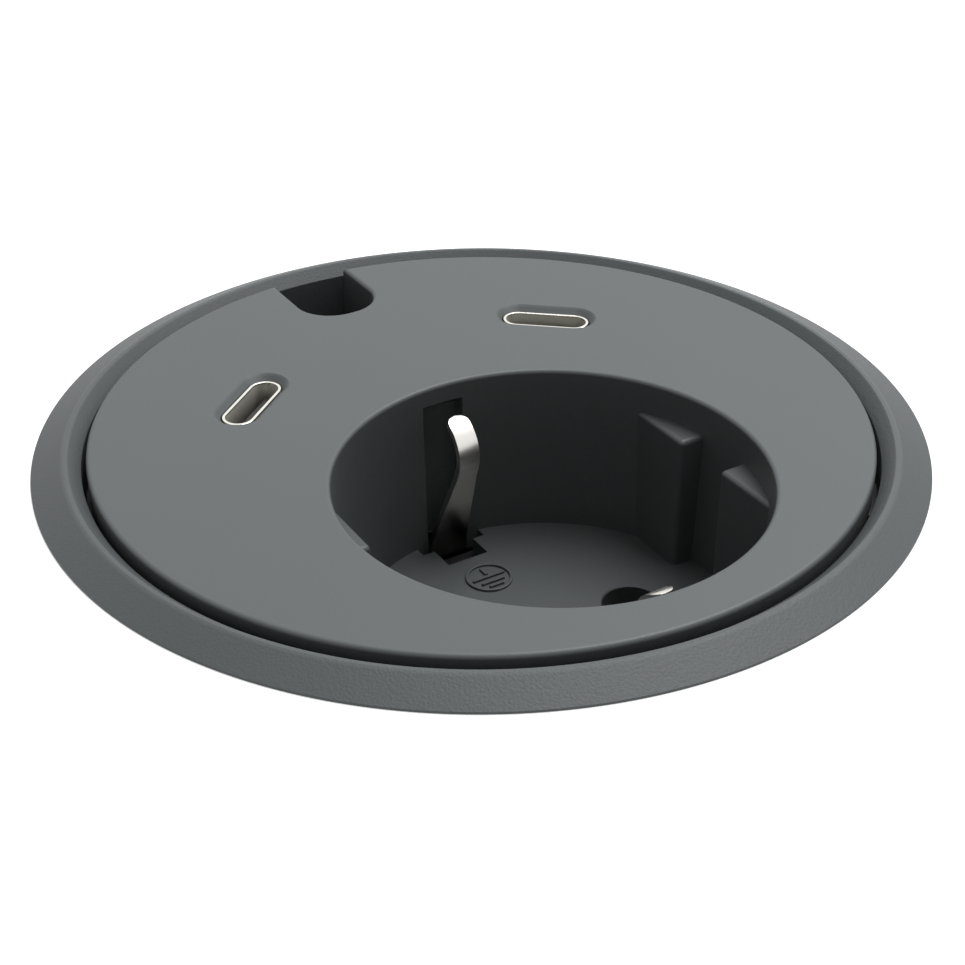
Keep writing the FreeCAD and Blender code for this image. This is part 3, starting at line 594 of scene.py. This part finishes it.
# The floor has a stepped pocket before each clip, and the two pin holes.
def makeWellFloor():
    bm = bmesh.new()
    outer = well["floorRadius"] + well["floorSunk"]
    wide, narrow = well["pocketWide"], well["pocketNarrow"]
    step, front = well["pocketStep"], well["pocketFront"]
    mouth = math.sqrt(outer ** 2 - wide ** 2)
    sweep = ("arc", 0, 0, 180 - 2 * math.degrees(math.asin(wide / outer)), well["floorSteps"])
    notch = [(wide, step), (narrow, step), (narrow, front), (-narrow, front), (-narrow, step), (-wide, step),
             (-wide, mouth)]
    moves = [("line", x, y) for x, y in notch] + [sweep] + [("line", -x, -y) for x, y in notch] + [sweep]
    loops = [drawLoop(bm, (wide, mouth), moves, height) for height in (well["floor"], well["under"])]
    joinLoops(bm, loops)
    tops, feet = [loops[0]], [loops[1]]
    radius, edge = well["pinRadius"], well["pinEdge"]
    rows = ((radius + edge, well["floor"]), (radius, well["floor"] - edge), (radius, well["under"]))
    for side in (-1, 1):
        place = (side * well["pinReach"], 0)
        hole = [drawCircle(bm, size, height, well["pinSegments"], place) for size, height in rows]
        joinLoops(bm, hole)
        tops.append(hole[0])
        feet.append(hole[-1])
    fillFlat(bm, *tops)
    fillFlat(bm, *feet)
    return moveShape(tidyShape(bm), atWell)


# A guide block: a box whose back corner is cut off inside the wall, rounded where it faces the well.
guide = {"reach": 16.7, "groove": 2.9, "end": 14.0, "top": -1.85, "edgeRound": 0.5, "roundSteps": 6,
         "sunk": 0.6, "cutDepth": 0.9, "cutAngle": 29}


def makeGuide(mirrorX, mirrorY):
    g = guide
    bm = drawBox((g["reach"], g["groove"], well["floor"] - g["sunk"]),
                 (well["outer"] - g["sunk"], g["end"], g["top"]))
    angle = math.radians(g["cutAngle"])
    lean = Vector((math.cos(angle), math.sin(angle), 0))
    rim = cutPlane(bm, lean * (well["outer"] - g["cutDepth"]), lean)
    bmesh.ops.holes_fill(bm, edges=rim, sides=0)
    # An edge between two of the three faces that show
    shown = ((0, g["reach"]), (1, g["groove"]), (2, g["top"]))
    facing = [edge for edge in bm.edges if sum(
        all(abs(vert.co[axis] - value) < near for vert in edge.verts) for axis, value in shown) >= 2]
    roundEdges(bm, facing, g["edgeRound"], g["roundSteps"])
    bmesh.ops.scale(bm, vec=(mirrorX, mirrorY, 1), verts=bm.verts[:])
    return moveShape(tidyShape(bm), atWell)


# The earth sign on the well's floor, in thin raised lines: each bar has its place and half length.
earthSign = {"centre": (0.0, 10.75), "radius": 2.2, "line": 0.3, "rise": 0.24, "sunk": 0.1, "edgeRound": 0.05,
             "roundSteps": 3, "segments": 96, "bars": ((0.1, 1.75), (-0.75, 1.25), (-1.45, 0.78)),
             "stem": (0.5, 1.65)}


def makeEarthSign():
    e = earthSign
    half = e["line"] / 2
    low, top, edge = well["floor"] - e["sunk"], well["floor"] + e["rise"], e["edgeRound"]
    inner, outer, middle = e["radius"] - half, e["radius"] + half, e["centre"][1]
    section = [(inner, low), (outer, low), (outer, top, edge), (inner, top, edge)]
    shapes = [turnProfile(section, e["segments"], e["centre"], e["roundSteps"])]
    for y, reach in e["bars"]:
        shapes.append(drawBox((-reach, middle + y - half, low), (reach, middle + y + half, top)))
    shapes.append(drawBox((-half, middle + e["stem"][0], low), (half, middle + e["stem"][1], top)))
    return [moveShape(shape, atWell) for shape in shapes]


def makeSlotCollar():
    bm = bmesh.new()
    half, corner, inner, wall = face["slotHalf"], face["slotCorner"], face["slotInner"], face["collarWall"]
    far = math.sqrt(face["radius"] ** 2 - (half + wall) ** 2)
    mouth = far + face["collarReach"]
    moves = slotMoves(1, half, corner, inner, mouth) + [("line", -half - wall, far)]
    moves += slotMoves(-1, half + wall, corner + wall, inner - wall, far)
    loops = [drawLoop(bm, (half, mouth), moves, height) for height in (face["under"], face["collarFoot"])]
    joinLoops(bm, loops)
    for loop in loops:
        fillFlat(bm, loop)
    return tidyShape(bm)


# Behind each clip, the floor's seat and the closed back of its slot.
def makeClipBacks():
    wide, boss, back = well["pocketWide"], well["bossHalf"], well["slotBack"]
    shapes = []
    for turn in (Matrix(), halfTurn):
        seat = drawBox((-wide, well["pocketBack"], well["under"]),
                       (wide, back - well["seatGap"], well["floor"]))
        wall = drawBox((-boss, back + well["bossGap"], well["under"]),
                       (boss, well["bossBack"], well["slotTop"] + well["bossRise"]))
        shapes += [moveShape(shape, atWell @ turn) for shape in (seat, wall)]
    return shapes


def makePosts():
    radius, root = face["postRadius"], face["postRoot"]
    foot, step, top = face["postFoot"], face["postStep"], face["under"]
    section = [(0, foot), (radius, foot), (radius, step), (root, step), (root, top), (0, top)]
    return [turnProfile(section, face["postSegments"], place) for place in face["posts"]]


def makeFace():
    shapes = [makeDisc(), makeWellFloor(), makeSlotCollar()]
    shapes += [makeGuide(x, y) for x in (-1, 1) for y in (-1, 1)]
    shapes += makeClipBacks() + makePosts() + makeEarthSign()
    return makePiece("faceInsert", shapes, finishes["face"], replaced=["face_insert"])


makeFace()
print("face disc and well made")


# Earth clips: one strap bent to a U below the contact block, whose ends stand up and curl in the well.
strap = {
    "curlRadius": 3.7, "curlEnd": 103.0, "curlSteps": 64, "endRound": 1.0, "thickness": 0.7,
    "kneeReach": 14.25, "kneeHeight": -4.4, "kneeFoot": -5.4, "flareTop": -6.6, "flareLean": 1.04,
    "footReach": 18.6, "footDrop": 0.1, "shoulderDrop": 1.5, "base": -37.6, "bend": 1.5, "bendSteps": 10,
    "clipHalf": 1.12, "footHalf": 2.1, "baseHalf": 3.2, "tabLength": 7.3,
    "edgeRound": 0.14, "roundSteps": 3, "edgeAngle": 0.9,  # Edges that turn by more radians are rounded
}
curlCentre = (strap["kneeReach"] + strap["curlRadius"], strap["kneeHeight"])
shoulder = well["under"] - strap["footHalf"]


def onCurl(radius, degrees):
    angle = math.radians(degrees)
    return curlCentre[0] + radius * math.cos(angle), curlCentre[1] + radius * math.sin(angle)


# The strap widens from the clip to its foot in the well's floor, and again below its shoulder.
def strapHalfWidth(reach, height):
    s = strap
    if height > s["kneeFoot"]:
        angle = math.degrees(math.atan2(height - curlCentre[1], reach - curlCentre[0])) % 360
        fromEnd = math.radians(angle - s["curlEnd"]) * (s["curlRadius"] - s["thickness"] / 2)
        short = s["endRound"] - min(max(fromEnd, 0.0), s["endRound"])
        return s["clipHalf"] - s["endRound"] + math.sqrt(s["endRound"] ** 2 - short ** 2)
    if height > s["flareTop"]:
        return s["clipHalf"]
    if height > well["floor"]:
        share = (s["flareTop"] - height) / (s["flareTop"] - well["floor"])
        return s["clipHalf"] + (s["footHalf"] - s["clipHalf"]) * share
    return min(s["baseHalf"], s["footHalf"] + max(0.0, shoulder - height))


# The side outline of one half, from the curled end down its inner face and back up its outer one.
def drawStrap(bm):
    s = strap
    cx, cz = curlCentre
    foot, thick, flare, floor = s["footReach"], s["thickness"], s["flareTop"], well["floor"]
    drop, run = cz - floor, foot - cx
    slant = math.atan2(-drop, run) - math.acos(s["curlRadius"] / math.hypot(drop, run))
    touch = math.degrees(slant) % 360  # Where the straight leg leaves the curl
    kneeX, kneeZ = onCurl(s["curlRadius"], touch)
    flareX = foot - (foot - kneeX) / (kneeZ - floor) * (flare - floor)
    back, neck = foot + thick, shoulder - s["shoulderDrop"]
    bendX, bendZ = foot - s["bend"], s["base"] + s["bend"]
    inner = [(flareX, flare), (foot, floor), (foot, shoulder), (foot, neck), (foot, bendZ)]
    under = [(0, s["base"]), (0, s["base"] - thick), (bendX, s["base"] - thick)]
    outer = [(back, neck), (back, shoulder), (back, floor - s["footDrop"]),
             (flareX + thick * s["flareLean"], flare), onCurl(s["curlRadius"] - thick, touch)]
    moves = [("arc", cx, cz, touch - s["curlEnd"], s["curlSteps"])] + [("line", *spot) for spot in inner]
    moves += [("arc", bendX, bendZ, -90, s["bendSteps"])] + [("line", *spot) for spot in under]
    moves += [("arc", bendX, bendZ, 90, s["bendSteps"])] + [("line", *spot) for spot in outer]
    moves += [("arc", cx, cz, s["curlEnd"] - touch, s["curlSteps"])]
    return drawLoop(bm, onCurl(s["curlRadius"], s["curlEnd"]), moves)


def makeStrap():
    s = strap
    bm = bmesh.new()
    fillFlat(bm, drawStrap(bm))
    bmesh.ops.recalc_face_normals(bm, faces=bm.faces[:])
    grown = bmesh.ops.extrude_face_region(bm, geom=bm.faces[:])["geom"]
    bmesh.ops.translate(bm, vec=(0, 0, 1), verts=vertsIn(grown))
    tidyShape(bm)
    # The outline was drawn lying flat. It stands up here, and gets its width.
    for vert in bm.verts:
        side = 1 if vert.co.z > 0.5 else -1
        vert.co = (side * strapHalfWidth(vert.co.x, vert.co.y), vert.co.x, vert.co.y)
    bmesh.ops.recalc_face_normals(bm, faces=bm.faces[:])
    rims = [edge for edge in bm.edges if edge.calc_face_angle(0) > s["edgeAngle"]
            and edge.verts[0].co.x * edge.verts[1].co.x > 0]
    roundEdges(bm, rims, s["edgeRound"], s["roundSteps"])
    tidyShape(bm)
    other = moveShape(bm.copy(), halfTurn)
    tab = drawBox((-s["baseHalf"], s["footReach"] - s["bend"], s["base"] - s["thickness"]),
                  (s["baseHalf"], s["footReach"] + s["tabLength"], s["base"]))
    shapes = [moveShape(shape, atWell) for shape in (bm, other, tab)]
    return makePiece("earthStrap", shapes, finishes["clip"], replaced=["earth_bow"], sharpAngle=50)


makeStrap()
print("earth clips made")


# Charging ports: drawn shells with a polished rim, and a tongue with its contact strips.
port = {
    "shell": (8.94, 3.2), "wall": 0.3, "top": 1.04, "foot": -6.26, "rimRound": 0.06, "rimSteps": 4,
    "endSteps": 24, "tongue": (6.7, 0.7), "tongueTop": -0.36, "tongueFoot": -5.26, "tongueRound": 0.12,
    "tongueSteps": 3, "base": (8.24, 2.5), "baseTop": -3.86,
    "padCount": 12, "padWidth": 0.25, "padPitch": 0.5, "padRise": 0.03, "padTop": -0.86,
}


def makeShell(side, sideName):
    bm = bmesh.new()
    p = port
    length, width = p["shell"]

    def drawRow(inset, height):
        return drawOval(bm, length - 2 * inset, width - 2 * inset, height, steps=p["endSteps"])

    rim = roundSteps(p["rimRound"], p["top"], p["rimSteps"])
    rows = [drawRow(inset, height) for inset, height in reversed(rim)]
    rows += [drawRow(p["wall"] - inset, height) for inset, height in rim]
    rows += [drawRow(p["wall"], p["foot"]), drawRow(0, p["foot"])]
    joinLoops(bm, rows + rows[:1])
    shell = moveShape(tidyShape(bm), portPlace(side))
    makePiece("portShell" + sideName, [shell], finishes["shell"],
              replaced=["usb_shell_" + sideName.lower()])


def makeTongue(side, sideName):
    p = port
    place = portPlace(side)
    half, thick = p["tongue"][0] / 2, p["tongue"][1] / 2
    blade = drawBox((-half, -thick, p["tongueFoot"]), (half, thick, p["tongueTop"]))
    roundEdges(blade, blade.edges[:], p["tongueRound"], p["tongueSteps"])
    base = bmesh.new()
    loops = [drawOval(base, *p["base"], height) for height in (p["baseTop"], p["foot"])]
    joinLoops(base, loops)
    for loop in loops:
        fillFlat(base, loop)
    shapes = [moveShape(tidyShape(shape), place) for shape in (blade, base)]
    makePiece("portTongue" + sideName, shapes, finishes["tongue"],
              replaced=["usb_tongue_" + sideName.lower()])
    pads = []
    rise, reach = p["padRise"], p["padWidth"] / 2
    for index in range(p["padCount"]):
        x = (index - (p["padCount"] - 1) / 2) * p["padPitch"]
        for low, high in ((-thick - rise, -thick), (thick, thick + rise)):
            pad = drawBox((x - reach, low, p["baseTop"]), (x + reach, high, p["padTop"]))
            pads.append(moveShape(pad, place))
    makePiece("portPads" + sideName, pads, finishes["pad"])


for side, sideName in ((-1, "Left"), (1, "Right")):
    makeShell(side, sideName)
    makeTongue(side, sideName)
print("charging ports made")


# Housing screws: round heads below the housing, each with a cross recess, and plain shanks.
screws = {"head": 2.8, "edgeRound": 0.6, "foot": -47.8, "seat": -46.0, "shank": 1.45, "end": -33.0,
          "crossHalf": 0.4, "crossReach": 1.6, "crossDepth": 1.0, "segments": 48}


def makeScrew(x, y):
    s = screws
    bm = bmesh.new()
    a, b = s["crossHalf"], s["crossReach"]
    cross = [(b, -a), (b, a), (a, a), (a, b), (-a, b), (-a, a),
             (-b, a), (-b, -a), (-a, -a), (-a, -b), (a, -b), (a, -a)]
    moves = [("line", *corner) for corner in cross[1:]]
    recess = [drawLoop(bm, cross[0], moves, height) for height in (s["foot"], s["foot"] + s["crossDepth"])]
    rows = [(s["head"] - inset, s["foot"] - height) for inset, height in roundSteps(s["edgeRound"], 0.0)]
    rows += [(s["head"], s["seat"]), (s["shank"], s["seat"]), (s["shank"], s["end"])]
    rings = [drawCircle(bm, radius, height, s["segments"]) for radius, height in rows]
    joinLoops(bm, recess)
    joinLoops(bm, rings)
    fillFlat(bm, recess[0], rings[0])
    fillFlat(bm, recess[1])
    fillFlat(bm, rings[-1])
    return moveShape(tidyShape(bm), Matrix.Translation((x, y, 0)))


makePiece("housingScrews", [makeScrew(x, y) for x, y in face["posts"]], finishes["screw"],
          replaced=["housing_screws"])
print("housing screws made")


# The other pieces keep their own solids. Where a round wall shows, a merged copy is shaded smooth.
plainPieces = {
    "clamp_washer": ("clampWasher", "steel", "steel", "washer"),
    "ring_nut": ("ringNut", "nut", "moulding_nut", "nut"),
    "rear_housing": ("rearHousing", "rear", "moulding_rear", "base"),
    "cord_gland": ("cordGland", "gland", "gland", "base"),
    "shutter_spring": ("shutterSpring", "spring", "spring_steel", "base"),
}
innerPieces = {
    "contact_block": "block", "safety_shutter": "shutter", "live_contact": "brass", "neutral_contact": "brass",
    "terminal_screws": "screw", "charger_board": "board", "charger_transformer": "winding",
    "charger_capacitors": "can", "charger_chips": "chip",
}


def smoothCopy(node):
    bm = bmesh.new()
    bm.from_mesh(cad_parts[node].data)
    bmesh.ops.remove_doubles(bm, verts=bm.verts[:], dist=1e-6)  # In metres, as the solid is
    bmesh.ops.scale(bm, vec=(1 / metre, 1 / metre, 1 / metre), verts=bm.verts[:])
    return bm


for node, (name, finishName, slotName, body) in plainPieces.items():
    piece = makePiece(name, [smoothCopy(node)], finishes[finishName], body, [node], sharpAngle=20)
    if node == "shutter_spring":
        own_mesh(piece)
for node, finishName in innerPieces.items():
    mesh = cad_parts[node].data
    mesh.materials.clear()
    mesh.materials.append(finishes[finishName])
print("other pieces finished")


# Studio, in metres: a desk top with its hole, a soft lamp overhead and a dim surround.
studio = {"hole": 0.0404, "floorReach": 1.0, "floorSegments": 128, "floorHeight": -0.00005, "floorTone": 0.80,
          "floorShown": 1.0, "floorGlow": 0.55, "surround": 0.20, "surroundShown": 1.0, "lampPower": 5.4,
          "lampSize": 0.55, "lampPlace": (0.30, 0.05, 0.75), "lampAim": (0, 0, 0)}


# The desk top shows as white, and takes part in the light as a plain pale floor.
def makeFloor():
    bm = bmesh.new()
    rings = [drawCircle(bm, radius, studio["floorHeight"], studio["floorSegments"])
             for radius in (studio["hole"], studio["floorReach"])]
    bmesh.ops.bridge_loops(bm, edges=rings[0] + rings[1])
    bmesh.ops.recalc_face_normals(bm, faces=bm.faces[:])
    if bm.faces[:][0].normal.z < 0:
        bmesh.ops.reverse_faces(bm, faces=bm.faces[:])
    mesh = bpy.data.meshes.new("deskTop")
    bm.to_mesh(mesh)
    bm.free()
    finish = Finish("deskTopWhite", Roughness=0.9, Specular_IOR_Level=0.0, Emission_Strength=1.0)
    seen = finish.seen()
    finish.feed("Base Color", finish.blend(seen, (studio["floorTone"],) * 3, (studio["floorShown"],) * 3))
    finish.feed("Emission Color", finish.blend(seen, (0.0,) * 3, (studio["floorGlow"],) * 3))
    mesh.materials.append(finish.material)
    floor = putInScene("deskTop", mesh)


def makeSurround():
    world = bpy.data.worlds.new("surround")
    bpy.context.scene.world = world
    nodes = NodeSet(world)
    dim, white = [nodes.add("ShaderNodeBackground", None, {"Color": (1, 1, 1, 1), "Strength": studio[strength]})
                  for strength in ("surround", "surroundShown")]
    mixed = nodes.add("ShaderNodeMixShader", None, {0: nodes.seen(), 1: dim, 2: white})
    nodes.plug(nodes.tree.nodes["World Output"].inputs["Surface"], mixed)


def makeLamp():
    data = bpy.data.lights.new("softLamp", "AREA")
    data.shape = "SQUARE"
    data.size = studio["lampSize"]
    data.energy = studio["lampPower"]
    lamp = putInScene("softLamp", data)
    lamp.location = studio["lampPlace"]
    lamp.rotation_euler = (Vector(studio["lampAim"]) - lamp.location).to_track_quat("-Z", "Y").to_euler()


# The camera stands where the photograph was taken from.
cameraPlace = {"azimuth": -31.23, "elevation": 31.93, "roll": -0.212, "distance": 0.14827,
               "target": (-0.005934, -0.009980, 0.0015), "lens": 62.96, "sensor": 36.0, "clip": (0.01, 20.0)}


def makeCamera():
    c = cameraPlace
    data = bpy.data.cameras.new("camera")
    data.lens, data.sensor_width, data.sensor_fit = c["lens"], c["sensor"], "HORIZONTAL"
    data.clip_start, data.clip_end = c["clip"]
    camera = putInScene("camera", data)
    a, e, roll = (math.radians(c[key]) for key in ("azimuth", "elevation", "roll"))
    back = Vector((math.sin(a) * math.cos(e), -math.cos(a) * math.cos(e), math.sin(e)))
    across = Vector((math.cos(a), math.sin(a), 0))
    rise = back.cross(across)
    right = across * math.cos(roll) + rise * math.sin(roll)
    upward = rise * math.cos(roll) - across * math.sin(roll)
    turn = Matrix((right, upward, back)).transposed()
    camera.matrix_world = Matrix.Translation(Vector(c["target"]) + back * c["distance"]) @ turn.to_4x4()
    bpy.context.scene.camera = camera


makeFloor()
makeSurround()
makeLamp()
makeCamera()
bpy.context.scene.view_settings.view_transform = "Standard"
print("studio made")
